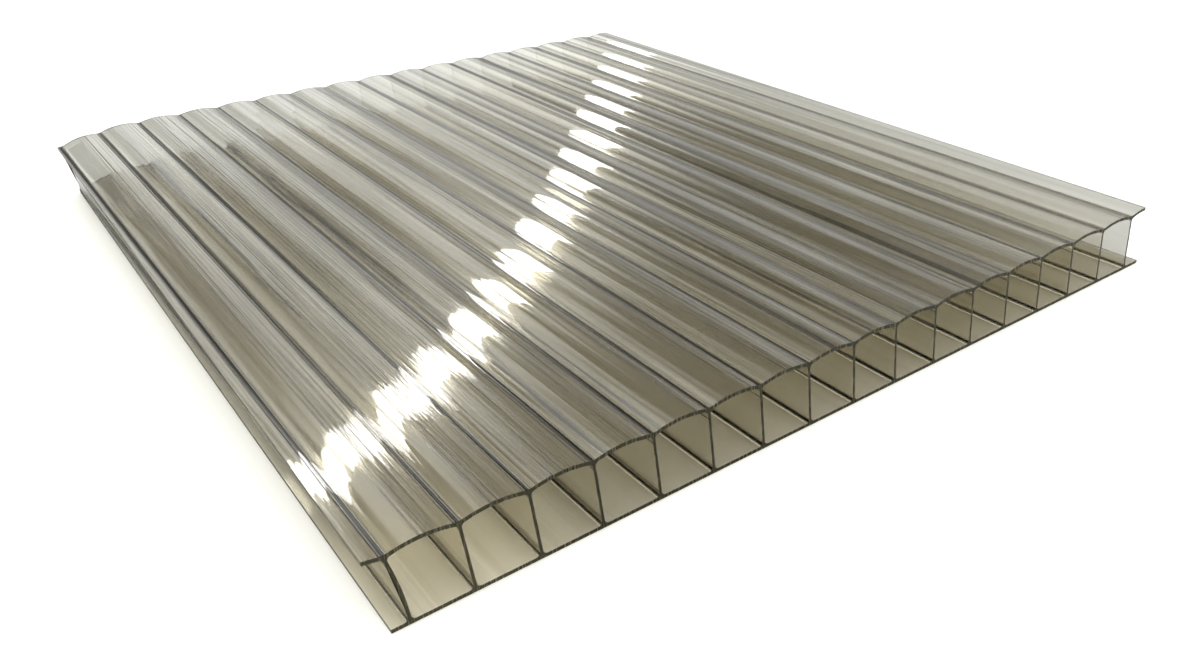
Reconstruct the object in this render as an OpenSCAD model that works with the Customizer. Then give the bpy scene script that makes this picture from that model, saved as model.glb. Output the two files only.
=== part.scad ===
/* [Sheet] */
// Length of the sheet along its flutes
sheet_length = 120; // [40:1:240]
// Height of the sheet over the crowns of its top skin
sheet_height = 7.84; // [6:0.02:16]
// Number of closed flutes
flute_count = 16; // [4:1:24]
// Distance from the middle of one rib to the middle of the next
rib_pitch = 6; // [5:0.1:12]

/* [Walls] */
// Thickness of the top skin
top_skin = 0.35; // [0.25:0.05:0.8]
// Thickness of the bottom skin
bottom_skin = 0.35; // [0.25:0.05:0.8]
// Thickness of a rib
rib_wall = 0.22; // [0.15:0.01:0.5]
// Radius of the fillets where the ribs run into the skins
root_fillet = 0.3; // [0.15:0.05:0.5]
// Height of the top skin's crowns over the valleys between them
crown_rise = 0.56; // [0.2:0.02:0.9]
// How far the head of a rib stands to the left of its foot
rib_lean = 0.6; // [0:0.05:1]

/* [Sawn sides] */
// How far the skins reach past the first rib at the front
first_lip_front = 1.6; // [0.3:0.1:2.4]
// How far the skins reach past the first rib at the back
first_lip_back = 0.3; // [0.3:0.1:2.4]
// How far the skins reach past the last rib at the front
last_lip_front = 2.9; // [0.3:0.1:4.3]
// How far the skins reach past the last rib at the back
last_lip_back = 4.2; // [0.3:0.1:4.3]

/* [Hidden] */
$fn = 96;
// Each root fillet has this many flats
fillet_steps = 4;
// A cut runs past what it cuts by this much
overcut = 1;

// The valleys lie over the ribs, and each crown is an arc from one valley to the next
valley_z = sheet_height - crown_rise;
crown_r = (pow(rib_pitch / 2, 2) + pow(crown_rise, 2)) / (2 * crown_rise);
crown_z = sheet_height - crown_r;
flute_roof_r = crown_r - top_skin;

// Slope of the ribs, and how much of x their half wall and their fillets take up
lean_angle = atan2(rib_lean, valley_z);
half_rib = rib_wall / 2 / cos(lean_angle);
fillet_reach = half_rib + root_fillet / cos(lean_angle);
fillet_floor_z = bottom_skin + root_fillet;
// A saw cut through a lip stops this far past its skin, clear of the leaning rib
lip_zone = max(top_skin, bottom_skin) + 2 * root_fillet;

// The origin is below the middle of the bounding box
left_reach = rib_lean + max(first_lip_front, first_lip_back);
right_reach = flute_count * rib_pitch + max(last_lip_front, last_lip_back);
first_foot_x = (left_reach - right_reach) / 2;

// Middle of rib i at height z; half numbers give the middle of a flute
function rib_x(i, z) = first_foot_x + i * rib_pitch - rib_lean * z / valley_z;

function arc(centre, r, from, to) = [
    for (k = [0 : fillet_steps])
        let (a = from + (to - from) * k / fillet_steps)
            centre + r * [cos(a), sin(a)]
];

// Centre of the fillet under flute i's roof, beside its left rib (side 0) or its right one (side 1):
// it touches the rib's face and the arc of the roof
function roof_fillet(i, side) =
    let (
        slope = rib_lean / valley_z,
        offset = rib_x(i + side, 0) + (side == 0 ? fillet_reach : -fillet_reach) - rib_x(i + 0.5, valley_z),
        a = 1 + pow(slope, 2),
        b = slope * offset + crown_z,
        c = pow(offset, 2) + pow(crown_z, 2) - pow(flute_roof_r - root_fillet, 2),
        z = (b + sqrt(pow(b, 2) - a * c)) / a
    )
    [rib_x(i + 0.5, valley_z) + offset - slope * z, z];

function floor_fillet(i, side) =
    [rib_x(i + side, fillet_floor_z) + (side == 0 ? fillet_reach : -fillet_reach), fillet_floor_z];

// Outline of flute i up its two ribs; it is left open upwards, where the roof's arc closes it
function flute_sides(i) =
    let (
        roof_centre = [rib_x(i + 0.5, valley_z), crown_z],
        left = roof_fillet(i, 0),
        right = roof_fillet(i, 1),
        left_angle = atan2(left.y - roof_centre.y, left.x - roof_centre.x),
        right_angle = atan2(right.y - roof_centre.y, right.x - roof_centre.x),
        above = crown_r + overcut
    )
    concat(
        arc(left, root_fillet, left_angle, 180 + lean_angle),
        arc(floor_fillet(i, 0), root_fillet, 180 + lean_angle, 270),
        arc(floor_fillet(i, 1), root_fillet, 270, 360 + lean_angle),
        arc(right, root_fillet, lean_angle, right_angle),
        [
            roof_centre + above * [cos(right_angle), sin(right_angle)],
            roof_centre + above * [0, 1],
            roof_centre + above * [cos(left_angle), sin(left_angle)]
        ]
    );

module flute(i) {
    intersection() {
        polygon(flute_sides(i));
        translate([rib_x(i + 0.5, valley_z), crown_z]) circle(flute_roof_r);
    }
}

module crown(i) {
    intersection() {
        translate([rib_x(i + 0.5, valley_z), crown_z]) circle(crown_r);
        translate([rib_x(i, valley_z), valley_z]) square([rib_pitch, crown_rise + overcut]);
    }
}

// The skins reach past the first and the last rib, far enough for the saw to cut their lips to length
module section() {
    left = rib_x(-0.5, valley_z);
    right = rib_x(flute_count + 1, valley_z) - fillet_reach;
    difference() {
        union() {
            translate([left, 0]) square([right - left, valley_z]);
            for (i = [-1 : flute_count]) crown(i);
        }
        for (i = [-1 : flute_count]) flute(i);
    }
}

// Takes away one skin beyond its lip, from height z for a depth of height; side is -1 or 1
module side_cut(lip_x_front, lip_x_back, side, z, height) {
    run = (lip_x_back - lip_x_front) / sheet_length * overcut;
    back_y = sheet_length / 2 + overcut;
    waste = side * 2 * rib_pitch;
    translate([0, 0, z]) linear_extrude(height) polygon([
        [lip_x_front - run, -back_y],
        [lip_x_back + run, back_y],
        [lip_x_back + run + waste, back_y],
        [lip_x_front - run + waste, -back_y]
    ]);
}

// Cuts both lips of one skin, from height z upwards; the lips are measured from the ribs at foot_z
module side_cuts(foot_z, z) {
    height = lip_zone + crown_rise + overcut;
    first_x = rib_x(0, foot_z);
    last_x = rib_x(flute_count, foot_z);
    side_cut(first_x - first_lip_front, first_x - first_lip_back, -1, z, height);
    side_cut(last_x + last_lip_front, last_x + last_lip_back, 1, z, height);
}

module sheet() {
    color([0.58, 0.56, 0.49]) difference() {
        rotate([90, 0, 0]) linear_extrude(sheet_length, center = true) section();
        side_cuts(0, -crown_rise - overcut);
        side_cuts(valley_z, valley_z - lip_zone);
    }
}

sheet();
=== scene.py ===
"""Dresses the multiwall polycarbonate sheet and puts it in a plain white studio.

The sheet is one extrusion: a flat bottom skin, a crowned top skin and the ribs between them. Its visible mesh
is built from one flute that Geometry Nodes repeat, and from the two sawn sides that close the row.
"""

import logging
import math
from dataclasses import dataclass, field
from enum import Enum
from functools import reduce
from typing import ClassVar

import bmesh
import bpy
from mathutils import Matrix, Vector
from mathutils.geometry import tessellate_polygon

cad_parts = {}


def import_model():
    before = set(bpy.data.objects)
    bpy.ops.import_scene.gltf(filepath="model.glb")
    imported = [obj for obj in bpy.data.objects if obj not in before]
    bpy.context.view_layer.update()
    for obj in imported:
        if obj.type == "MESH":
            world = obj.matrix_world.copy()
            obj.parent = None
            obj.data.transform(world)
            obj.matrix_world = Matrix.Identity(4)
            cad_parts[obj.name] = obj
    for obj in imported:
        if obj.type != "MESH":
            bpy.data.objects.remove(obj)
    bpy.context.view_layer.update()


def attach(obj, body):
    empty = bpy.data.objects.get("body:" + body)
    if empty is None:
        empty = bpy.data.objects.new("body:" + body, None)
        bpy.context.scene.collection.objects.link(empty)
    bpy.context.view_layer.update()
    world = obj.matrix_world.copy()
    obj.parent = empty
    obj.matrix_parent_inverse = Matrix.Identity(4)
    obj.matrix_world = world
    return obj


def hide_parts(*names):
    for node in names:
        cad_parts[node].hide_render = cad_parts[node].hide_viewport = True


LOG = logging.getLogger("sheet")
MM = 0.001
PHOTO_WIDTH = 1200
# Name of the face attribute that is 1 on sawn faces
SAWN = "sawn"
WHITE = (1.0, 1.0, 1.0)

Point = tuple[float, float]
Chain = list[Point]
Range = tuple[float, float]
Triple = tuple[float, float, float]
Colour = Triple
Socket = bpy.types.NodeSocket
Value = float | Socket
Loop = list[bmesh.types.BMVert]


class Side(Enum):
    """A side of the sheet, as the sign of its x."""

    FIRST = -1
    LAST = 1


@dataclass(frozen=True)
class Section:
    """The sheet's section across its flutes, in millimetres, from the foot of the rib on the left.

    Attributes:
        pitch: From the middle of one rib to the middle of the next.
        height: Height over the crowns.
        skin: Thickness of both skins.
        rib: Thickness of a rib.
        fillet: Radius where ribs run into the skins.
        rise: Height of the crowns over the valleys, before these are rounded.
        valley: Radius that rounds the valleys.
        lean: How far a rib's head stands to the left of its foot.
        crown_steps: Flats on a crown, on the roof below it and along a lip.
        crown_crowding: Power that crowds a crown's points towards its valleys.
        lip_crowding: Power that crowds the points inside a lip towards its rib.
        lip_rounds: How many times the end of a lip's inner face is worked out, each time closer.
        fillet_steps: Flats on a fillet.
        rib_steps: Flats up a rib.
        floor_steps: Flats across a flute's floor and across the underside.
        lip_steps: Flats across the underside of a lip.
    """

    pitch: float = 6.0
    height: float = 7.7
    skin: float = 0.38
    rib: float = 0.28
    fillet: float = 0.42
    rise: float = 0.42
    valley: float = 2.0
    lean: float = 0.6
    crown_steps: int = 30
    crown_crowding: float = 1.3
    lip_crowding: float = 2.0
    lip_rounds: int = 6
    fillet_steps: int = 6
    rib_steps: int = 6
    floor_steps: int = 6
    lip_steps: int = 4

    @property
    def valley_z(self) -> float:
        """Height of the valleys between the crowns."""
        return self.height - self.rise

    @property
    def crown_r(self) -> float:
        """Radius of a crown."""
        return ((self.pitch / 2) ** 2 + self.rise**2) / (2 * self.rise)

    @property
    def roof_r(self) -> float:
        """Radius of a flute's roof, below the crown."""
        return self.crown_r - self.skin

    @property
    def slope(self) -> float:
        """How far a rib goes left for each millimetre of height."""
        return self.lean / self.valley_z

    @property
    def half_rib(self) -> float:
        """Half a rib's width along x."""
        return self.rib / 2 * math.hypot(1, self.slope)

    @property
    def fillet_reach(self) -> float:
        """How far the centre of a fillet stands from the middle of its rib, along x."""
        return self.half_rib + self.fillet * math.hypot(1, self.slope)

    def crown_centre(self, flute: int) -> Point:
        """Centre of the crown over a flute; flute 0 stands right of the rib at x = 0."""
        return (flute + 0.5) * self.pitch - self.lean, self.height - self.crown_r

    def meet(self, foot: float, centre: Point, radius: float, root: int = 1) -> Point:
        """Finds where a line parallel to the ribs meets a circle.

        Args:
            foot: The line's x at the bottom of the sheet.
            centre: The circle's centre.
            radius: The circle's radius.
            root: 1 for the upper of the two points, -1 for the lower one.

        Returns:
            The point's x and z.
        """
        from_centre = foot - centre[0]
        a = 1 + self.slope**2
        b = self.slope * from_centre + centre[1]
        c = from_centre**2 + centre[1] ** 2 - radius**2
        z = (b + root * math.sqrt(max(0.0, b * b - a * c))) / a
        return foot - self.slope * z, z

    def fillet_centre(self, flute: int, side: Side, top: bool) -> Point:
        """Finds the centre of a fillet between a flute's skin and one of its ribs.

        Args:
            flute: The flute's number.
            side: Whether the rib is the flute's first or its last one.
            top: Whether the fillet runs into the roof, and not into the floor.

        Returns:
            The centre's x and z.
        """
        foot = (flute + (side is Side.LAST)) * self.pitch - side.value * self.fillet_reach
        if top:
            return self.meet(foot, self.crown_centre(flute), self.roof_r - self.fillet)
        z = self.skin + self.fillet
        return foot - self.slope * z, z

    def top_z(self, from_valley: float) -> float:
        """Height of the top skin at a distance from a valley, whose arc touches the crowns beside it."""
        middle = self.pitch / 2
        reach = self.crown_r + self.valley
        crown_z = self.height - self.crown_r
        if abs(from_valley) < middle * self.valley / reach:
            valley_z = crown_z + math.sqrt(reach**2 - middle**2)
            return valley_z - math.sqrt(self.valley**2 - from_valley**2)
        return crown_z + math.sqrt(self.crown_r**2 - (abs(from_valley) - middle) ** 2)

    def crown(self) -> Chain:
        """The top of flute 0, from its left valley to its right one."""
        half = self.crown_steps // 2
        shares = [(k / half) ** self.crown_crowding / 2 for k in range(half + 1)]
        shares += [1 - share for share in reversed(shares[:-1])]
        return [(self.pitch * u - self.lean, self.top_z(self.pitch * min(u, 1 - u))) for u in shares]

    def underside(self) -> Chain:
        """The bottom of flute 0, from its right rib to its left one."""
        right, left = (self.pitch, 0.0), (0.0, 0.0)
        return [right, *between(right, left, self.floor_steps), left]

    def flute(self) -> Chain:
        """Outline of flute 0.

        Returns:
            Points down its left rib, over its floor, up its right rib and back along its roof.
        """
        centre = self.crown_centre(0)
        left, right = (self.fillet_centre(0, side, top=True) for side in Side)
        low_left, low_right = (self.fillet_centre(0, side, top=False) for side in Side)
        left_angle, right_angle = angle_to(centre, left), angle_to(centre, right)
        lean_angle = math.degrees(math.atan(self.slope))
        down = arc(left, self.fillet, left_angle, 180 + lean_angle, self.fillet_steps)
        floor_left = arc(low_left, self.fillet, 180 + lean_angle, 270, self.fillet_steps)
        floor_right = arc(low_right, self.fillet, 270, 360 + lean_angle, self.fillet_steps)
        up = arc(right, self.fillet, lean_angle, right_angle, self.fillet_steps)
        roof = arc(centre, self.roof_r, right_angle, left_angle, self.crown_steps)
        return [
            *down,
            *between(down[-1], floor_left[0], self.rib_steps),
            *floor_left,
            *between(floor_left[-1], floor_right[0], self.floor_steps),
            *floor_right,
            *between(floor_right[-1], up[0], self.rib_steps),
            *up,
            *roof[1:-1],
        ]

    def lip_crown(self, side: Side, lip: float) -> Chain:
        """The top of a lip, from the rib's valley out to the upright cut."""
        outs = [lip * k / self.crown_steps for k in range(self.crown_steps + 1)]
        return [(side.value * out - self.lean, self.top_z(out)) for out in outs]

    def lip_inside(self, side: Side, lip: float, top: bool) -> Chain:
        """The inner face of a lip, from the rib's face out to the upright cut.

        Args:
            side: The sheet's side that the lip is on.
            lip: How far it reaches past the middle of the rib.
            top: Whether it is the top skin's lip.

        Returns:
            Points that crowd towards the rib, where the fillet is steepest.
        """
        flute, toward = (-1, Side.LAST) if side is Side.FIRST else (0, Side.FIRST)
        centre = self.crown_centre(flute)
        round_at = self.fillet_centre(flute, toward, top)
        tangent = round_at[0], self.skin
        if top:
            turn = math.radians(angle_to(centre, round_at))
            tangent = round_at[0] + self.fillet * math.cos(turn), round_at[1] + self.fillet * math.sin(turn)
        fillet_ends = abs(tangent[0] + self.slope * tangent[1])

        def at(out: float) -> Point:
            """The point on the line that is parallel to the rib and stands out from it by this."""
            foot = side.value * out
            if out < fillet_ends:
                return self.meet(foot, round_at, self.fillet, 1 if top else -1)
            if top:
                return self.meet(foot, centre, self.roof_r)
            return foot - self.slope * self.skin, self.skin

        cut_x = side.value * lip - (self.lean if top else 0.0)
        reach = lip
        for _ in range(self.lip_rounds):
            reach = side.value * (cut_x + self.slope * at(reach)[1])
        shares = [(k / self.crown_steps) ** self.lip_crowding for k in range(self.crown_steps + 1)]
        return [at(self.half_rib + (reach - self.half_rib) * share) for share in shares]

    def side(self, side: Side, lip: float) -> Chain:
        """Outline of the half rib and the two lips outside the first or the last rib.

        Args:
            side: The sheet's side that they are on.
            lip: How far the lips reach past the middle of the rib.

        Returns:
            Points from the crown to the underside, or back, so that the outside is on their left.
        """
        roof, floor = (self.lip_inside(side, lip, top) for top in (True, False))
        rib = between(roof[0], floor[0], self.rib_steps)
        bottom = [(side.value * lip * k / self.lip_steps, 0.0) for k in reversed(range(self.lip_steps + 1))]
        chain = [*self.lip_crown(side, lip), *reversed(roof), *rib, *floor, *bottom]
        return chain if side is Side.LAST else chain[::-1]


def arc(centre: Point, radius: float, start: float, end: float, steps: int) -> Chain:
    """Points on an arc from one angle to another, in degrees, both ends included."""
    angles = [math.radians(start + (end - start) * k / steps) for k in range(steps + 1)]
    return [(centre[0] + radius * math.cos(a), centre[1] + radius * math.sin(a)) for a in angles]


def between(start: Point, end: Point, steps: int) -> Chain:
    """Points on a straight line, without its ends."""
    return [
        (start[0] + (end[0] - start[0]) * k / steps, start[1] + (end[1] - start[1]) * k / steps)
        for k in range(1, steps)
    ]


def angle_to(centre: Point, point: Point) -> float:
    """Angle of a point seen from a centre, in degrees."""
    return math.degrees(math.atan2(point[1] - centre[1], point[0] - centre[0]))


def add_object(name: str, data: bpy.types.ID) -> bpy.types.Object:
    """Makes an object of a mesh, a lamp or a camera and puts it in the scene."""
    made = bpy.data.objects.new(name, data)
    bpy.context.scene.collection.objects.link(made)
    return made


@dataclass
class SheetMesh:
    """Collects the surfaces of one length of extrusion, and marks the sawn ones.

    Attributes:
        rows: Distances of the mesh's rows along the flutes, in millimetres.
        weld: Points closer than this are one, in metres.
        mesh: The surfaces.
    """

    rows: list[float]
    weld: float = 1e-7
    mesh: bmesh.types.BMesh = field(default_factory=bmesh.new)

    def __post_init__(self) -> None:
        """Adds the layer that marks the sawn faces."""
        self.sawn = self.mesh.faces.layers.float.new(SAWN)

    def points(self, chain: Chain, y: float) -> Loop:
        """Makes a chain's vertices at one distance along the flutes."""
        return [self.mesh.verts.new((x * MM, y * MM, z * MM)) for x, z in chain]

    def wall(self, chains: list[Chain], closed: bool, sawn_steps: tuple[int, ...] = ()) -> list[Loop]:
        """Makes the surface that runs along the flutes through one chain for each row.

        Args:
            chains: The outline at each row; the outside is on its left.
            closed: Whether each outline's last point joins its first.
            sawn_steps: The steps of the outline that the saw has made.

        Returns:
            The rows of vertices.
        """
        grid = [self.points(chain, y) for chain, y in zip(chains, self.rows, strict=True)]
        count = len(grid[0])
        for near, far in zip(grid, grid[1:], strict=False):
            for k in range(count if closed else count - 1):
                after = (k + 1) % count
                face = self.mesh.faces.new((near[k], near[after], far[after], far[k]))
                face[self.sawn] = 1.0 if k in sawn_steps else 0.0
        return grid

    def cap(self, loops: list[Loop], faces_back: bool) -> None:
        """Closes one end of the extrusion with flat sawn faces.

        Args:
            loops: The outline's vertices, and those of any hole in it.
            faces_back: Whether the end faces +Y.
        """
        corners = [v for loop in loops for v in loop]
        flat = [[Vector((v.co.x, v.co.z, 0)) for v in loop] for loop in loops]
        for a, b, c in tessellate_polygon(flat):
            pa, pb, pc = (corners[i].co for i in (a, b, c))
            counter_clockwise = (pb.x - pa.x) * (pc.z - pa.z) > (pb.z - pa.z) * (pc.x - pa.x)
            order = (a, b, c) if counter_clockwise != faces_back else (a, c, b)
            face = self.mesh.faces.new([corners[i] for i in order])
            face[self.sawn] = 1.0

    def finish(self, name: str) -> bpy.types.Object:
        """Turns what was collected into an object of the scene."""
        data = bpy.data.meshes.new(name)
        bmesh.ops.remove_doubles(self.mesh, verts=self.mesh.verts, dist=self.weld)
        self.mesh.to_mesh(data)
        self.mesh.free()
        return add_object(name, data)


@dataclass(frozen=True)
class Relief:
    """A pattern of fine relief, from a noise that is stretched along the axes.

    Attributes:
        scale: Features per metre along x, y and z.
        detail: The noise's detail.
        depth: How deep the relief is, in metres.
    """

    scale: Triple
    detail: float = 0.0
    depth: float = 0.0


@dataclass
class NodeTree:
    """Adds nodes to a tree with few words."""

    tree: bpy.types.NodeTree

    def add(
        self, kind: str, inputs: dict[str | int, object] | None = None, **settings: object
    ) -> bpy.types.Node:
        """Adds a node.

        Args:
            kind: The node's type.
            inputs: Values or sockets for its inputs, by name or number.
            **settings: The node's own settings.

        Returns:
            The node.
        """
        node = self.tree.nodes.new(kind)
        for name, value in settings.items():
            setattr(node, name, value)
        for key, value in (inputs or {}).items():
            if isinstance(value, Socket):
                self.tree.links.new(value, node.inputs[key])
            else:
                node.inputs[key].default_value = value
        return node

    def math(self, operation: str, *values: Value) -> Socket:
        """Adds a Math node and returns its result."""
        return self.add("ShaderNodeMath", dict(enumerate(values)), operation=operation).outputs[0]

    def product(self, *values: Value) -> Socket:
        """Multiplies the values with each other."""
        return reduce(lambda result, value: self.math("MULTIPLY", result, value), values)

    def distance(self, value: Socket, middle: float) -> Socket:
        """How far a value is from a middle one, to either side."""
        return self.math("ABSOLUTE", self.math("SUBTRACT", value, middle))

    def ramp(
        self,
        value: Socket,
        start: Value,
        end: Value,
        low: Value = 0.0,
        high: Value = 1.0,
        smooth: bool = False,
    ) -> Socket:
        """Maps a value from one range to another.

        Args:
            value: The value.
            start: What it is at one end of its range.
            end: What it is at the other end.
            low: The result at the start, and short of it.
            high: The result at the end, and past it.
            smooth: Whether the result eases in and out.

        Returns:
            The result.
        """
        node = self.add(
            "ShaderNodeMapRange",
            {"Value": value, "From Min": start, "From Max": end, "To Min": low, "To Max": high},
            interpolation_type="SMOOTHSTEP" if smooth else "LINEAR",
        )
        return node.outputs[0]

    def noise(self, place: Socket, relief: Relief, seed: Socket | None = None) -> Socket:
        """Adds the noise of a relief.

        Args:
            place: The place, in metres.
            relief: The relief.
            seed: Chooses another noise of the same kind.

        Returns:
            The noise's value.
        """
        stretched = self.add("ShaderNodeVectorMath", {0: place, 1: relief.scale}, operation="MULTIPLY")
        inputs = {"Vector": stretched.outputs[0], "Scale": 1.0, "Detail": relief.detail}
        if seed is None:
            return self.add("ShaderNodeTexNoise", inputs).outputs[0]
        return self.add("ShaderNodeTexNoise", inputs | {"W": seed}, noise_dimensions="4D").outputs[0]

    def bump(self, height: Socket, depth: float, strength: Socket, onto: Socket | None = None) -> Socket:
        """Adds a relief to the normals.

        Args:
            height: The relief's height, from 0 to 1.
            depth: What a height of 1 stands for, in metres.
            strength: Share of the relief that is kept.
            onto: Normals of another relief, which it is added to.

        Returns:
            The normals.
        """
        inputs = {"Height": height, "Distance": depth, "Strength": strength}
        if onto is not None:
            inputs["Normal"] = onto
        return self.add("ShaderNodeBump", inputs).outputs[0]

    def mix_colour(self, factor: Socket, first: Colour | Socket, second: Colour | Socket) -> Socket:
        """Mixes two colours; the factor is the share of the second one."""
        ends = [end if isinstance(end, Socket) else (*end, 1.0) for end in (first, second)]
        return self.add("ShaderNodeMix", {0: factor, 6: ends[0], 7: ends[1]}, data_type="RGBA").outputs[2]


@dataclass(frozen=True)
class SmokePolycarbonate:
    """Clear extruded polycarbonate with a smoke-bronze tint, sawn at its ends and sides.

    Attributes:
        refraction: Its refractive index.
        tint: Colour that the body keeps; what is missing is absorbed.
        absorption: Absorption per metre.
        shade: What a lamp's light keeps of each colour at each surface that it crosses.
        gloss: Roughness of the drawn skin.
        saw_roughness: Roughness of a sawn face.
        saw_painted_shade: Colour of a sawn face, its bronze tint darkened to near black by painted shade.
        saw_painted_glints: Colour of the painted glints on it.
        saw_sheen: Colour that its reflections keep.
        saw_marks: The marks of the saw.
        painted_glint_heights: Heights of the saw marks between which the painted glints begin.
        waves: The waves left by the die.
        ridges: The ridges left where it is worn.
        lines: The fine lines left by it.
        strips: Where along the sheet's width those lines lie.
        lined: Values of the strips between which the lines deepen.
        unlined: Depth of the lines elsewhere, as a share.
        top: Heights between which the relief of the top skin begins, in metres.
        below_top: Depth of the relief below them, as a share.
        worn: The x that the die is most worn up to, and the x that it is least worn from, in metres.
        unworn: Depth of ridges and lines where it is least worn, as a share.
        calm: The x that the waves are deepest up to, and the x that they are calmest from, in metres.
        calmest: Depth of the waves there, as a share.
    """

    refraction: float = 1.585
    tint: Colour = (0.53, 0.47, 0.25)
    absorption: float = 1000.0
    shade: Colour = (0.98, 0.97, 0.95)
    gloss: float = 0.02
    saw_roughness: float = 0.45
    saw_painted_shade: Colour = (0.035, 0.031, 0.014)
    saw_painted_glints: Colour = (0.55, 0.51, 0.34)
    saw_sheen: Colour = (0.85, 0.8, 0.5)
    saw_marks: Relief = Relief((5000, 5000, 500), detail=1.0, depth=5e-5)
    painted_glint_heights: Range = (0.53, 0.66)
    waves: Relief = Relief((300, 4, 300), detail=0.5, depth=3.4e-4)
    ridges: Relief = Relief((1400, 70, 1400), depth=2.6e-5)
    lines: Relief = Relief((3800, 14, 3800), detail=1.0, depth=4.5e-5)
    strips: Relief = Relief((260, 3, 60))
    lined: Range = (0.5, 0.58)
    unlined: float = 0.04
    top: Range = (6.3e-3, 6.8e-3)
    below_top: float = 0.15
    worn: Range = (-0.03, 0.0)
    unworn: float = 0.15
    calm: Range = (-0.03, 0.03)
    calmest: float = 0.45

    def drawn_normal(self, tree: NodeTree, place: Socket) -> Socket:
        """Adds the relief that the die has left: waves, ridges and fine lines.

        Args:
            tree: The material's tree.
            place: The place on the sheet.

        Returns:
            The normals.
        """
        x, _, z = tree.add("ShaderNodeSeparateXYZ", {0: place}).outputs
        top = tree.ramp(z, *self.top, low=self.below_top)
        calm = tree.ramp(x, *self.calm, low=1.0, high=self.calmest)
        ridged = tree.product(tree.ramp(x, *self.worn, low=1.0, high=self.unworn), top)
        lined = tree.product(tree.ramp(tree.noise(place, self.strips), *self.lined, low=self.unlined), ridged)
        normal = tree.bump(tree.noise(place, self.waves), self.waves.depth, tree.product(calm, top))
        normal = tree.bump(tree.noise(place, self.ridges), self.ridges.depth, ridged, normal)
        return tree.bump(tree.noise(place, self.lines), self.lines.depth, lined, normal)

    def body(self, tree: NodeTree) -> Socket:
        """Adds the surface as it is seen, drawn or sawn.

        Args:
            tree: The material's tree.

        Returns:
            The shader.
        """
        place = tree.add("ShaderNodeTexCoord").outputs["Object"]
        sawn = tree.add("ShaderNodeAttribute", attribute_name=SAWN, attribute_type="GEOMETRY").outputs["Fac"]
        # The higher saw marks also carry painted glints, lighter than the sawn face
        marks = tree.noise(place, self.saw_marks)
        cut_normal = tree.bump(marks, self.saw_marks.depth, sawn)
        normals = {"Factor": sawn, 4: self.drawn_normal(tree, place), 5: cut_normal}
        normal = tree.add("ShaderNodeMix", normals, data_type="VECTOR").outputs[1]
        # Painted shade: the sawn face's bronze colour is darkened to near black, with painted glints on its
        # higher marks
        cut_painted_shade_and_glints = tree.mix_colour(tree.ramp(marks, *self.painted_glint_heights), self.saw_painted_shade, self.saw_painted_glints)
        inputs = {
            "Base Color": tree.mix_colour(sawn, WHITE, cut_painted_shade_and_glints),
            "Roughness": tree.math("MULTIPLY_ADD", sawn, self.saw_roughness - self.gloss, self.gloss),
            "IOR": self.refraction,
            "Transmission Weight": 1.0,
            "Specular Tint": tree.mix_colour(sawn, WHITE, self.saw_sheen),
            "Normal": normal,
        }
        return tree.add("ShaderNodeBsdfPrincipled", inputs).outputs[0]

    def light_through(self, tree: NodeTree) -> Socket:
        """Adds the surface as light crosses it on its way to the floor: clear but for what it mirrors.

        Args:
            tree: The material's tree.

        Returns:
            The shader.
        """
        facing = tree.add("ShaderNodeLayerWeight", {"Blend": 0.5}).outputs["Facing"]
        head_on = ((self.refraction - 1) / (self.refraction + 1)) ** 2
        mirrored = tree.math("MULTIPLY_ADD", tree.math("POWER", facing, 5.0), 1 - head_on, head_on)
        kept = tree.math("SUBTRACT", 1.0, mirrored)
        shares = [tree.math("MULTIPLY", kept, share) for share in self.shade]
        colour = tree.add("ShaderNodeCombineColor", dict(enumerate(shares)))
        return tree.add("ShaderNodeBsdfTransparent", {"Color": colour.outputs[0]}).outputs[0]

    def build(self) -> bpy.types.Material:
        """Makes the material."""
        material = bpy.data.materials.new("smoke_polycarbonate")
        material.use_nodes = True
        material.node_tree.nodes.clear()
        tree = NodeTree(material.node_tree)
        ray = tree.add("ShaderNodeLightPath").outputs
        passes = tree.math("MAXIMUM", ray["Is Shadow Ray"], ray["Is Diffuse Ray"])
        shaders = {0: passes, 1: self.body(tree), 2: self.light_through(tree)}
        surface = tree.add("ShaderNodeMixShader", shaders)
        smoke = {"Color": (*self.tint, 1), "Density": self.absorption}
        volume = tree.add("ShaderNodeVolumeAbsorption", smoke)
        tree.add("ShaderNodeOutputMaterial", {"Surface": surface.outputs[0], "Volume": volume.outputs[0]})
        return material


@dataclass(frozen=True)
class Warp:
    """How the sheet strays from a straight extrusion, in millimetres.

    Attributes:
        rib_bow: How far a rib bows to one side or the other, at most.
        first_rib_bow: How far the first rib bows to the right.
        first_rib_zone: How many rib spacings right of its foot still bow as the first rib does.
        first_foot_shift: How far its foot and the lip there stand to the right of their place.
        foot_zone: Rib spacings from its foot at which that shift begins to fade, and at which it is gone.
        corner_pull: How far the saw has cut the back end's first corner short.
        corner_reach: How far along x that slant reaches.
        corner_powers: Powers with which it grows towards the corner, along x and along y.
        ripple: The pattern in which the crowns sink here and there.
        ripple_from: Height from which the sheet sinks with it.
        seed: Chooses the bows and the ripple.
    """

    rib_bow: float = 0.08
    first_rib_bow: float = 0.2
    first_rib_zone: float = 0.4
    first_foot_shift: float = 0.5
    foot_zone: Range = (0.1, 0.5)
    corner_pull: float = 5.0
    corner_reach: float = 15.0
    corner_powers: Range = (2.5, 2.0)
    ripple: Relief = Relief((420, 9, 420), detail=1.0, depth=4e-5)
    ripple_from: float = 2.0
    seed: float = 4.0


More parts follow.
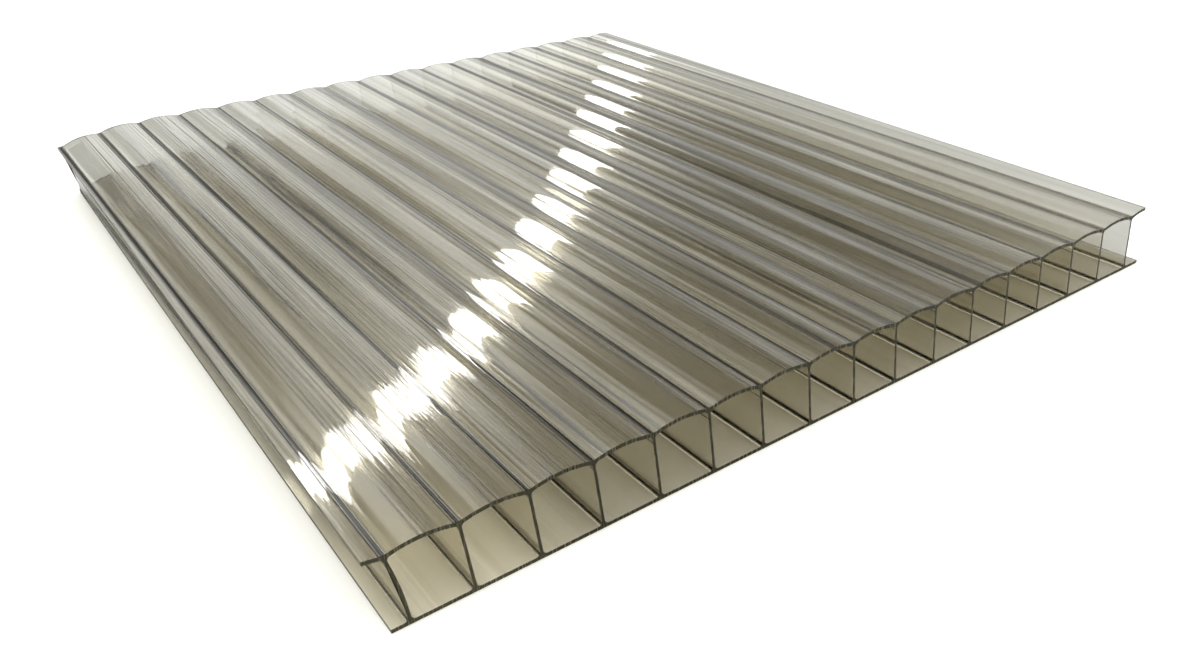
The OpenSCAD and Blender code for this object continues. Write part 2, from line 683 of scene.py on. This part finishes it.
@dataclass
class FluteRow:
    """Geometry nodes that repeat one flute, close the row with its two sides and warp the whole.

    Attributes:
        warp: How the sheet strays from a straight extrusion.
        values: What goes into the tree's inputs, by their names; lengths are in metres.
        merge: Points closer than this become one, in metres.
        crease: Edges that bend by more than this stay sharp, in degrees.
        KINDS: The kind of socket for each type of value.
    """

    warp: Warp
    values: dict[str, object]
    merge: float = 1e-6
    crease: float = 60.0

    KINDS: ClassVar[dict[type, str]] = {
        bpy.types.Object: "Object",
        bpy.types.Material: "Material",
        int: "Int",
        float: "Float",
    }

    def __post_init__(self) -> None:
        """Makes the tree with its named inputs, and the values that its parts share."""
        self.group = bpy.data.node_groups.new("flute_row", "GeometryNodeTree")
        kinds = {"Flute": "Geometry"} | {name: self.KINDS[type(value)] for name, value in self.values.items()}
        for name, kind in kinds.items():
            self.group.interface.new_socket(name, in_out="INPUT", socket_type=f"NodeSocket{kind}")
        self.group.interface.new_socket("Sheet", in_out="OUTPUT", socket_type="NodeSocketGeometry")
        self.tree = NodeTree(self.group)
        self.given = self.tree.add("NodeGroupInput").outputs
        self.place = self.tree.add("GeometryNodeInputPosition").outputs[0]
        self.x, self.y, self.z = self.tree.add("ShaderNodeSeparateXYZ", {0: self.place}).outputs
        self.from_first = self.tree.math("SUBTRACT", self.x, self.given["First rib"])
        self.rib = self.tree.math("DIVIDE", self.from_first, self.given["Pitch"])

    def along_x(self, x: Value) -> Socket:
        """Makes a vector that points along x."""
        return self.tree.add("ShaderNodeCombineXYZ", {"X": x}).outputs[0]

    def side(self, name: str, x: Value) -> bpy.types.Node:
        """Places one of the two sides at an x."""
        found = self.tree.add("GeometryNodeObjectInfo", {"Object": self.given[name]}).outputs["Geometry"]
        return self.tree.add("GeometryNodeTransform", {"Geometry": found, "Translation": self.along_x(x)})

    def row(self) -> Socket:
        """Repeats the flute and joins it with the two sides.

        Returns:
            The straight extrusion, as one mesh.
        """
        first_x, pitch, count = (self.given[name] for name in ("First rib", "Pitch", "Flutes"))
        starts = {"Count": count, "Start Location": self.along_x(first_x), "Offset": self.along_x(pitch)}
        line = self.tree.add("GeometryNodeMeshLine", starts, mode="OFFSET").outputs[0]
        copies = {"Points": line, "Instance": self.given["Flute"]}
        flutes = self.tree.add("GeometryNodeInstanceOnPoints", copies)
        last_x = self.tree.math("MULTIPLY_ADD", count, pitch, first_x)
        joined = self.tree.add("GeometryNodeJoinGeometry")
        for part in (flutes, self.side("First side", first_x), self.side("Last side", last_x)):
            self.group.links.new(part.outputs[0], joined.inputs[0])
        real = self.tree.add("GeometryNodeRealizeInstances", {"Geometry": joined.outputs[0]}).outputs[0]
        merged = self.tree.add("GeometryNodeMergeByDistance", {"Geometry": real, "Distance": self.merge})
        return merged.outputs[0]

    def bow(self) -> Socket:
        """Bows each rib to one side by chance, and the first one to the right.

        Returns:
            How far each point goes along x.
        """
        tree = self.tree
        half_turn = tree.ramp(self.z, 0.0, self.given["Valley height"], high=math.pi)
        chance = tree.add(
            "ShaderNodeTexNoise",
            {"W": tree.math("ADD", self.rib, self.given["Seed"]), "Scale": 1.0},
            noise_dimensions="1D",
        )
        either_way = tree.product(tree.ramp(chance.outputs[0], 0.0, 1.0, low=-1.0), self.given["Rib bow"])
        is_first = tree.math("LESS_THAN", self.rib, self.warp.first_rib_zone)
        choice = {"Switch": is_first, "False": either_way, "True": self.given["First rib bow"]}
        most = tree.add("GeometryNodeSwitch", choice, input_type="FLOAT").outputs[0]
        return tree.product(tree.math("SINE", half_turn), most)

    def foot_shift(self) -> Socket:
        """Shifts the first rib's foot and the lip beside it.

        Returns:
            How far each point goes along x.
        """
        fades, gone = self.warp.foot_zone
        beside = self.tree.ramp(self.rib, gone, fades)
        below = self.tree.ramp(self.z, 0.0, self.given["Valley height"], low=1.0, high=0.0)
        return self.tree.product(beside, below, self.given["First foot shift"])

    def corner(self) -> Socket:
        """Cuts the back end's first corner short.

        Returns:
            How far each point goes along y.
        """
        across, along = self.warp.corner_powers
        to_corner = self.tree.ramp(self.from_first, 0.0, self.given["Corner reach"], low=1.0, high=0.0)
        to_back = self.tree.ramp(self.y, 0.0, self.given["Half length"])
        beside, behind = self.tree.math("POWER", to_corner, across), self.tree.math("POWER", to_back, along)
        return self.tree.product(beside, behind, self.given["Corner pull"], -1.0)

    def sink(self) -> Socket:
        """Lets the crowns sink here and there.

        Returns:
            How far each point goes up, which is below 0.
        """
        ripple = self.tree.noise(self.place, self.warp.ripple, self.given["Seed"])
        raised = self.tree.ramp(self.z, self.warp.ripple_from * MM, self.given["Valley height"])
        return self.tree.product(ripple, raised, self.given["Ripple"], -1.0)

    def build(self) -> None:
        """Warps the row, keeps its edges sharp and gives it its material."""
        tree = self.tree
        across = tree.math("ADD", self.foot_shift(), self.bow())
        shift = tree.add("ShaderNodeCombineXYZ", {"X": across, "Y": self.corner(), "Z": self.sink()})
        warp = {"Geometry": self.row(), "Offset": shift.outputs[0]}
        warped = tree.add("GeometryNodeSetPosition", warp).outputs[0]
        smooth = tree.add("GeometryNodeSetShadeSmooth", {"Geometry": warped, "Shade Smooth": True}).outputs[0]
        bend = tree.add("GeometryNodeInputMeshEdgeAngle").outputs["Unsigned Angle"]
        limit = math.radians(self.crease)
        sharp = tree.add("FunctionNodeCompare", {0: bend, 1: limit}, operation="GREATER_THAN")
        creased = tree.add(
            "GeometryNodeSetShadeSmooth",
            {"Geometry": smooth, "Selection": sharp.outputs[0], "Shade Smooth": False},
            domain="EDGE",
        )
        dressed = {"Geometry": creased.outputs[0], "Material": self.given["Finish"]}
        tree.add("NodeGroupOutput", {0: tree.add("GeometryNodeSetMaterial", dressed).outputs[0]})

    def apply(self, flute: bpy.types.Object) -> bpy.types.Mesh:
        """Runs the nodes.

        Args:
            flute: The flute that they repeat.

        Returns:
            The finished mesh.
        """
        modifier = flute.modifiers.new(self.group.name, "NODES")
        modifier.node_group = self.group
        for socket in self.group.interface.items_tree:
            if socket.name in self.values:
                modifier[socket.identifier] = self.values[socket.name]
        evaluated = flute.evaluated_get(bpy.context.evaluated_depsgraph_get())
        return bpy.data.meshes.new_from_object(evaluated)


@dataclass
class TwinWallSheet:
    """The extruded sheet, from its first sawn side to its last.

    Attributes:
        section: Its section.
        warp: How it strays from a straight extrusion.
        flutes: Number of closed flutes.
        length: Length along the flutes, in millimetres.
        first_lip: How far the skins reach past the first rib, at the front and at the back.
        last_lip: How far they reach past the last rib.
        row_count: Steps of the mesh along the flutes.
    """

    section: Section = field(default_factory=Section)
    warp: Warp = field(default_factory=Warp)
    flutes: int = 16
    length: float = 120.0
    first_lip: Range = (1.6, 0.3)
    last_lip: Range = (2.9, 4.2)
    row_count: int = 40

    @property
    def first_rib(self) -> float:
        """The x of the first rib's foot: the sheet's box is centred on the origin."""
        left = self.section.lean + max(self.first_lip)
        right = self.flutes * self.section.pitch + max(self.last_lip)
        return (left - right) / 2

    @property
    def rows(self) -> list[float]:
        """Distances of the mesh's rows along the flutes."""
        return [self.length * (k / self.row_count - 0.5) for k in range(self.row_count + 1)]

    def flute(self) -> bpy.types.Object:
        """Builds one flute with half of each of its ribs."""
        made = SheetMesh(self.rows)
        count = len(made.rows)
        tube = made.wall([self.section.flute()] * count, closed=True)
        crown = made.wall([self.section.crown()] * count, closed=False)
        underside = made.wall([self.section.underside()] * count, closed=False)
        for end, faces_back in ((0, False), (-1, True)):
            made.cap([[*crown[end], *underside[end]], tube[end]], faces_back)
        return made.finish("flute")

    def side(self, side: Side) -> bpy.types.Object:
        """Builds the half rib and the two lips outside the first or the last rib.

        Args:
            side: The sheet's side that they are on.

        Returns:
            The side, whose rib stands at x = 0.
        """
        made = SheetMesh(self.rows)
        front, back = self.first_lip if side is Side.FIRST else self.last_lip
        lips = [front + (back - front) * (y / self.length + 0.5) for y in made.rows]
        chains = [self.section.side(side, lip) for lip in lips]
        last_step = len(chains[0]) - 2
        # The saw has made the step after the crown and the one before the underside
        cuts = (self.section.crown_steps, last_step - self.section.lip_steps)
        if side is Side.FIRST:
            cuts = tuple(last_step - cut for cut in cuts)
        grid = made.wall(chains, closed=False, sawn_steps=cuts)
        for end, faces_back in ((0, False), (-1, True)):
            made.cap([grid[end]], faces_back)
        return made.finish(f"{side.name.lower()}_side")

    def sizes(self) -> dict[str, float]:
        """Lengths that the flute row's nodes take, by the names of their inputs, in millimetres."""
        return {
            "First rib": self.first_rib,
            "Pitch": self.section.pitch,
            "Valley height": self.section.valley_z,
            "Half length": self.length / 2,
            "Rib bow": self.warp.rib_bow,
            "First rib bow": self.warp.first_rib_bow,
            "First foot shift": self.warp.first_foot_shift,
            "Corner pull": self.warp.corner_pull,
            "Corner reach": self.warp.corner_reach,
        }

    def build(self, finish: bpy.types.Material) -> bpy.types.Object:
        """Builds the whole sheet as one closed mesh that stands for the CAD node.

        Args:
            finish: The sheet's material.

        Returns:
            The finished piece.
        """
        flute, first, last = self.flute(), self.side(Side.FIRST), self.side(Side.LAST)
        values: dict[str, object] = {name: size * MM for name, size in self.sizes().items()}
        values |= {"Ripple": self.warp.ripple.depth, "Seed": self.warp.seed, "Flutes": self.flutes}
        values |= {"First side": first, "Last side": last, "Finish": finish}
        row = FluteRow(self.warp, values)
        row.build()
        piece = add_object("twin_wall_sheet", row.apply(flute))
        for helper in (flute, first, last):
            bpy.data.objects.remove(helper)
        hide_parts("sheet")
        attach(piece, "root")
        LOG.info("%s: %d faces", piece.name, len(piece.data.polygons))
        return piece


@dataclass(frozen=True)
class PhotoCamera:
    """The camera of the photograph.

    Attributes:
        place: Its place, in millimetres.
        azimuth: How far it stands round the sheet, in degrees; 0 looks along +Y.
        elevation: Its angle above the floor, in degrees.
        roll: Its turn about its own axis, in degrees.
        focal: Its focal length, in the photograph's pixels.
        middle_x: The pixel column that its axis meets.
        sensor: Width of its sensor, in millimetres.
        clip: The nearest and the farthest that it sees, in metres.
    """

    place: Triple = (-66.71, -118.78, 57.05)
    azimuth: float = -38.19
    elevation: float = 29.465
    roll: float = -0.777
    focal: float = 1035.92
    middle_x: float = 700.0
    sensor: float = 36.0
    clip: Range = (0.005, 50.0)

    def build(self) -> bpy.types.Object:
        """Makes the camera and gives it to the scene."""
        data = bpy.data.cameras.new("photo_camera")
        data.sensor_width = self.sensor
        data.lens = self.focal / PHOTO_WIDTH * self.sensor
        data.shift_x = (PHOTO_WIDTH / 2 - self.middle_x) / PHOTO_WIDTH
        data.clip_start, data.clip_end = self.clip
        camera = add_object("photo_camera", data)
        a, e, r = (math.radians(v) for v in (self.azimuth, self.elevation, self.roll))
        back = Vector((math.sin(a) * math.cos(e), -math.cos(a) * math.cos(e), math.sin(e)))
        level = Vector((math.cos(a), math.sin(a), 0))
        up = back.cross(level)
        right = math.cos(r) * level + math.sin(r) * up
        above = math.cos(r) * up - math.sin(r) * level
        turn = Matrix((right, above, back)).transposed().to_4x4()
        camera.matrix_world = Matrix.Translation(Vector(self.place) * MM) @ turn
        bpy.context.scene.camera = camera
        return camera


@dataclass(frozen=True)
class Floor:
    """A white floor with painted shade: it is darker as seen through the sheet or mirrored in it, but for
    painted light near one corner of the sheet.

    Attributes:
        size: Its side, in metres.
        gap: How far it lies below the sheet, in metres.
        colour: Its colour, as the camera and the lamps meet it.
        through: Painted shade: what it keeps of that colour as seen through the sheet or mirrored in it.
        painted_light_corner: Painted light: the corner of the sheet that light reaches the floor from, where
            it keeps all.
        painted_light_reach: How far from that corner the painted light keeps all, and how far off the painted
            shade is deepest, in metres.
        roughness: Its roughness.
    """

    size: float = 30.0
    gap: float = 0.0001
    colour: float = 0.93
    through: float = 0.57
    painted_light_corner: Triple = (-0.046, -0.058, 0.0)
    painted_light_reach: Range = (0.0048, 0.016)
    roughness: float = 0.9

    def finish(self) -> bpy.types.Material:
        """Makes its material."""
        material = bpy.data.materials.new("white_floor")
        material.use_nodes = True
        body = material.node_tree.nodes["Principled BSDF"]
        tree = NodeTree(material.node_tree)
        seen = tree.add("ShaderNodeLightPath").outputs["Is Camera Ray"]
        place = tree.add("ShaderNodeTexCoord").outputs["Object"]
        # Painted light: near this corner of the sheet the floor keeps its full colour
        from_corner = tree.add("ShaderNodeVectorMath", {0: place, 1: self.painted_light_corner}, operation="DISTANCE")
        # Painted shade: away from that corner the floor loses this share of its colour for all but camera
        # rays
        darkest = self.colour * self.through
        floor_with_painted_shade_and_light = tree.ramp(from_corner.outputs["Value"], *self.painted_light_reach, self.colour, darkest, smooth=True)
        shown = tree.math("MULTIPLY_ADD", seen, tree.math("SUBTRACT", self.colour, floor_with_painted_shade_and_light), floor_with_painted_shade_and_light)
        colour = tree.add("ShaderNodeCombineColor", {0: shown, 1: shown, 2: shown})
        material.node_tree.links.new(colour.outputs[0], body.inputs["Base Color"])
        body.inputs["Roughness"].default_value = self.roughness
        body.inputs["Specular IOR Level"].default_value = 0.0
        return material

    def build(self) -> bpy.types.Object:
        """Lays the floor."""
        half = self.size / 2
        corners = [(x, y, -self.gap) for x, y in ((-half, -half), (half, -half), (half, half), (-half, half))]
        data = bpy.data.meshes.new("floor")
        data.from_pydata(corners, [], [(0, 1, 2, 3)])
        data.materials.append(self.finish())
        floor = add_object("floor", data)
        return floor


@dataclass(frozen=True)
class Room:
    """The room round the sheet, which is plain white to the camera and banded to all else.

    Its brightness depends on the direction: on the y and z of the unit vector that points there, and on its
    turn, which is its angle about +Y from +X in radians.

    Attributes:
        left_wall: Brightness of the walls on the left, where they are darkest and brightest.
        right_wall: Brightness of those on the right.
        right_turn: Turns at which the left walls begin to give way to the right ones, and are gone.
        colour: Colour of the room's light.
        band_scale: Bands for each radian of turn and for each unit of y.
        band_detail: Detail of the noise that makes them.
        band_edges: Values of that noise at which the walls are darkest and brightest.
        low_wall: Share of their brightness that the walls keep at the floor.
        low_reach: The z above which they keep all.
        dark_y: The y in the middle of a darker stretch of the room.
        dark_reach: How far in y that stretch is darkest, and how far it reaches.
        dark_share: Share of their brightness that the walls have there.
        lit_share: Share of it that they have elsewhere.
        sky_light: What the sky overhead adds.
        sky_z: The z at which the sky begins, and at which it adds all.
        glow: What the glow round the lamps adds, where it is brightest.
        glow_y: The y at which it is brightest.
        glow_reach: How far in y it reaches to both sides.
        glow_turn: Turns at which it begins, and from which it is full.
        glow_even: Share of it that the bands leave as it is.
    """

    left_wall: Range = (0.24, 1.25)
    right_wall: Range = (0.86, 1.55)
    right_turn: Range = (0.7, 0.05)
    colour: Colour = (0.985, 1.0, 0.985)
    band_scale: float = 3.6
    band_detail: float = 1.0
    band_edges: Range = (0.34, 0.66)
    low_wall: float = 0.2
    low_reach: float = 0.2
    dark_y: float = 0.5
    dark_reach: Range = (0.08, 0.2)
    dark_share: float = 0.6
    lit_share: float = 1.12
    sky_light: float = 1.5
    sky_z: Range = (0.62, 0.85)
    glow: float = 0.9
    glow_y: float = 0.805
    glow_reach: float = 0.09
    glow_turn: Range = (0.45, 0.8)
    glow_even: float = 0.25

    def bands(self, tree: NodeTree, turn: Socket, y: Socket) -> Socket:
        """Adds the bands.

        Args:
            tree: The room's tree.
            turn: The direction's turn.
            y: Its y.

        Returns:
            How bright they are, from 0 to 1.
        """
        flat = tree.add("ShaderNodeCombineXYZ", {"X": turn, "Y": y}).outputs[0]
        inputs = {"Vector": flat, "Scale": self.band_scale, "Detail": self.band_detail}
        noise = tree.add("ShaderNodeTexNoise", inputs, noise_dimensions="2D")
        return tree.ramp(noise.outputs[0], *self.band_edges, smooth=True)

    def walls(self, tree: NodeTree, bands: Socket, turn: Socket, y: Socket, z: Socket) -> Socket:
        """Adds the walls.

        Args:
            tree: The room's tree.
            bands: How bright the bands are.
            turn: The direction's turn.
            y: Its y.
            z: Its z.

        Returns:
            The walls' brightness.
        """
        to_right = tree.ramp(turn, *self.right_turn, smooth=True)
        darkest, brightest = (
            tree.math("MULTIPLY_ADD", to_right, right - left, left)
            for left, right in zip(self.left_wall, self.right_wall, strict=True)
        )
        walls = tree.math("MULTIPLY_ADD", bands, tree.math("SUBTRACT", brightest, darkest), darkest)
        low = tree.ramp(z, 0.0, self.low_reach, low=self.low_wall, smooth=True)
        from_dark = tree.distance(y, self.dark_y)
        lit = tree.ramp(from_dark, *self.dark_reach, self.dark_share, self.lit_share, smooth=True)
        return tree.product(walls, low, lit)

    def lamp_glow(self, tree: NodeTree, bands: Socket, turn: Socket, y: Socket) -> Socket:
        """Adds the glow round the lamps.

        Args:
            tree: The room's tree.
            bands: How bright the bands are.
            turn: The direction's turn.
            y: Its y.

        Returns:
            Its brightness.
        """
        near = tree.ramp(tree.distance(y, self.glow_y), 0.0, self.glow_reach, self.glow, 0.0, smooth=True)
        above = tree.ramp(turn, *self.glow_turn, smooth=True)
        banded = tree.math("MULTIPLY_ADD", bands, 1 - self.glow_even, self.glow_even)
        return tree.product(near, above, banded)

    def build(self) -> bpy.types.World:
        """Makes the room and gives it to the scene."""
        world = bpy.data.worlds.new("studio_sky")
        world.use_nodes = True
        world.node_tree.nodes.clear()
        tree = NodeTree(world.node_tree)
        toward = tree.add("ShaderNodeTexCoord").outputs["Generated"]
        x, y, z = tree.add("ShaderNodeSeparateXYZ", {0: toward}).outputs
        turn = tree.math("ARCTAN2", z, x)
        bands = self.bands(tree, turn, y)
        walls = self.walls(tree, bands, turn, y, z)
        glow = self.lamp_glow(tree, bands, turn, y)
        sky = tree.ramp(z, *self.sky_z, high=self.sky_light, smooth=True)
        strength = tree.math("ADD", tree.math("ADD", walls, glow), sky)
        light = tree.add("ShaderNodeBackground", {"Color": (*self.colour, 1), "Strength": strength})
        plain = tree.add("ShaderNodeBackground", {"Color": (*WHITE, 1)})
        seen = tree.add("ShaderNodeLightPath").outputs["Is Camera Ray"]
        shown = tree.add("ShaderNodeMixShader", {0: seen, 1: light.outputs[0], 2: plain.outputs[0]})
        tree.add("ShaderNodeOutputWorld", {"Surface": shown.outputs[0]})
        bpy.context.scene.world = world
        return world


@dataclass(frozen=True)
class Lamps:
    """A row of long lamps behind the sheet, whose reflection runs across the crowns.

    Attributes:
        distance: How far away they hang, in metres.
        ends: Where each lamp ends and the next begins: its turn about +Y from +X, in degrees, and the y of
            its direction.
        gap: Share of each lamp that is left dark between it and the next.
        width: Their width, in metres.
        light: Their power for each square metre.
    """

    distance: float = 1.2
    ends: tuple[Point, ...] = ((108.0, 0.752), (82.0, 0.787), (58.0, 0.800), (35.0, 0.788))
    gap: float = 0.16
    width: float = 0.05
    light: float = 25.0

    def place(self, turn: float, forward: float) -> Vector:
        """Place of a lamp's end.

        Args:
            turn: Its turn about +Y from +X, in degrees.
            forward: The y of its direction.

        Returns:
            The place, in metres.
        """
        aside = math.sqrt(1 - forward**2)
        angle = math.radians(turn)
        return self.distance * Vector((aside * math.cos(angle), forward, aside * math.sin(angle)))

    def build(self) -> None:
        """Hangs the lamps, turned towards the sheet."""
        for number, ends in enumerate(zip(self.ends, self.ends[1:], strict=False)):
            start, end = (self.place(*where) for where in ends)
            along = (end - start).normalized()
            middle = (start + end) / 2
            back = (middle - middle.dot(along) * along).normalized()
            data = bpy.data.lights.new(f"long_lamp_{number}", "AREA")
            data.shape = "RECTANGLE"
            data.size, data.size_y = (end - start).length * (1 - self.gap), self.width
            data.energy = self.light * data.size * data.size_y
            turn = Matrix((along, back.cross(along), back)).transposed().to_4x4()
            add_object(data.name, data).matrix_world = Matrix.Translation(middle) @ turn


@dataclass(frozen=True)
class Studio:
    """A white floor in a banded room, with a row of long lamps behind the sheet.

    Attributes:
        floor: The floor.
        room: The room.
        lamps: The lamps.
        bounces: How many surfaces a ray meets or goes through, at most.
        glossy_bounces: How many of them may mirror it.
        shadow_bounces: How many surfaces light crosses on its way to the floor, at most.
    """

    floor: Floor = Floor()
    room: Room = Room()
    lamps: Lamps = Lamps()
    bounces: int = 13
    glossy_bounces: int = 6
    shadow_bounces: int = 48

    def build(self) -> None:
        """Builds the studio."""
        self.floor.build()
        self.room.build()
        self.lamps.build()
        scene = bpy.context.scene
        scene.view_settings.view_transform = "Standard"
        scene.cycles.max_bounces = self.bounces
        scene.cycles.transmission_bounces = self.bounces
        scene.cycles.glossy_bounces = self.glossy_bounces
        scene.cycles.transparent_max_bounces = self.shadow_bounces


def main() -> None:
    """Loads the frame, builds the camera, the sheet and the studio."""
    logging.basicConfig(level=logging.INFO, format="%(name)s: %(message)s")
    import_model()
    PhotoCamera().build()
    TwinWallSheet().build(SmokePolycarbonate().build())
    Studio().build()


if __name__ == "__main__":
    main()
